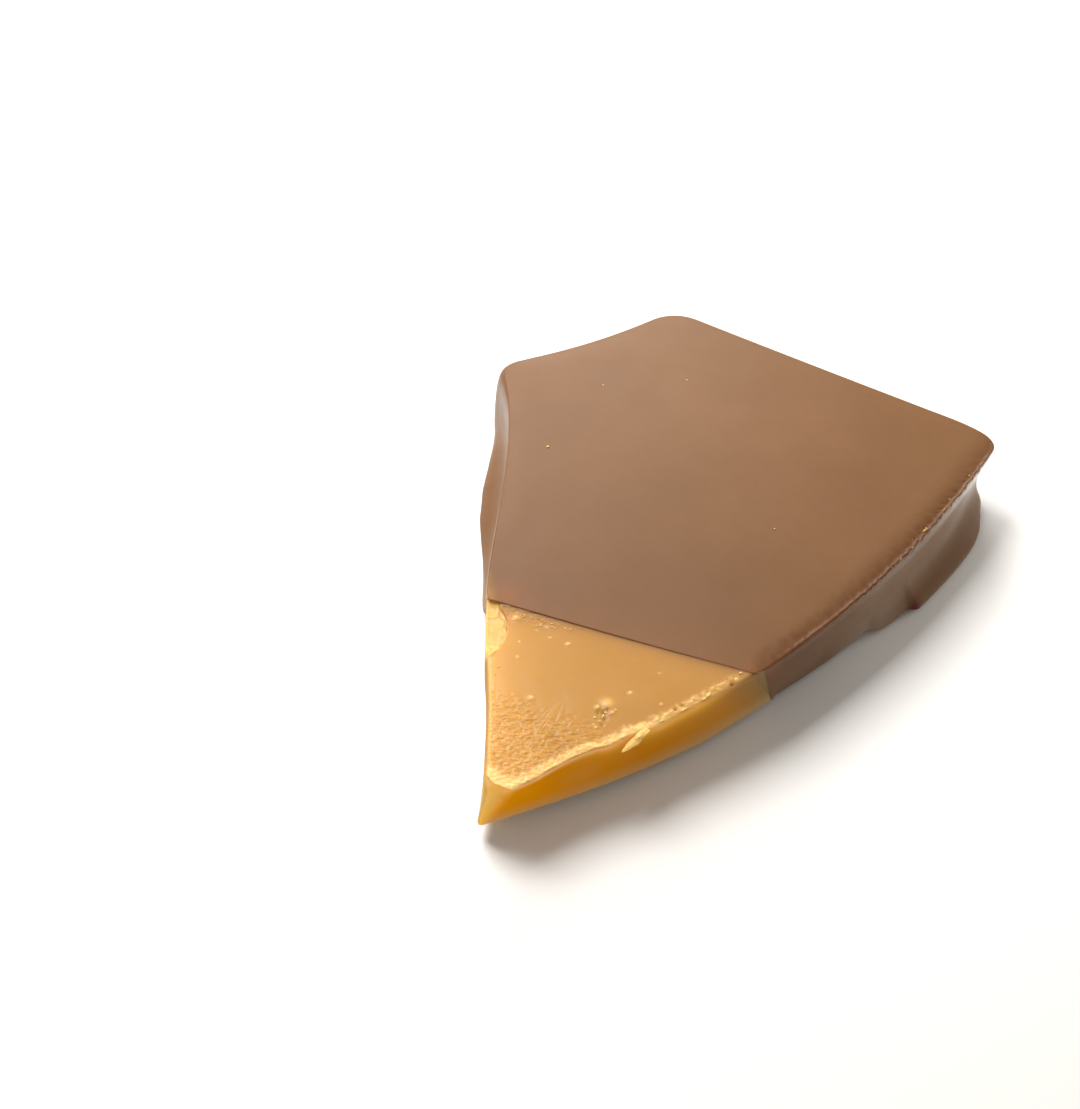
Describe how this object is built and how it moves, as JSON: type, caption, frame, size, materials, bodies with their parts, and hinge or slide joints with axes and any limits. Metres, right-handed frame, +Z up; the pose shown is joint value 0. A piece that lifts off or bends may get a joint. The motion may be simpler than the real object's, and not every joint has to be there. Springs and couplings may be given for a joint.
{
  "type": "butter crunch toffee",
  "caption": "Broken shard of hard golden toffee, dipped in milk chocolate up to a slanted line that leaves its pointed corner bare.",
  "frame": {"origin": "on the flat underside of the chocolate coat, under the middle of the shard", "axes": "+Z up through the slab's thickness; the bare pointed corner is at the front, towards -Y and -X; the dipped end is at the back, towards +Y"},
  "size_m": [0.0611, 0.07, 0.01],
  "materials": {
    "toffee": "hard, glossy and slightly translucent, with a sugary top near the point",
    "milk_chocolate": "satin"
  },
  "bodies": {
    "root": {"toffee": "toffee", "milk_chocolate": "milk_chocolate"}
  },
  "joints": []
}
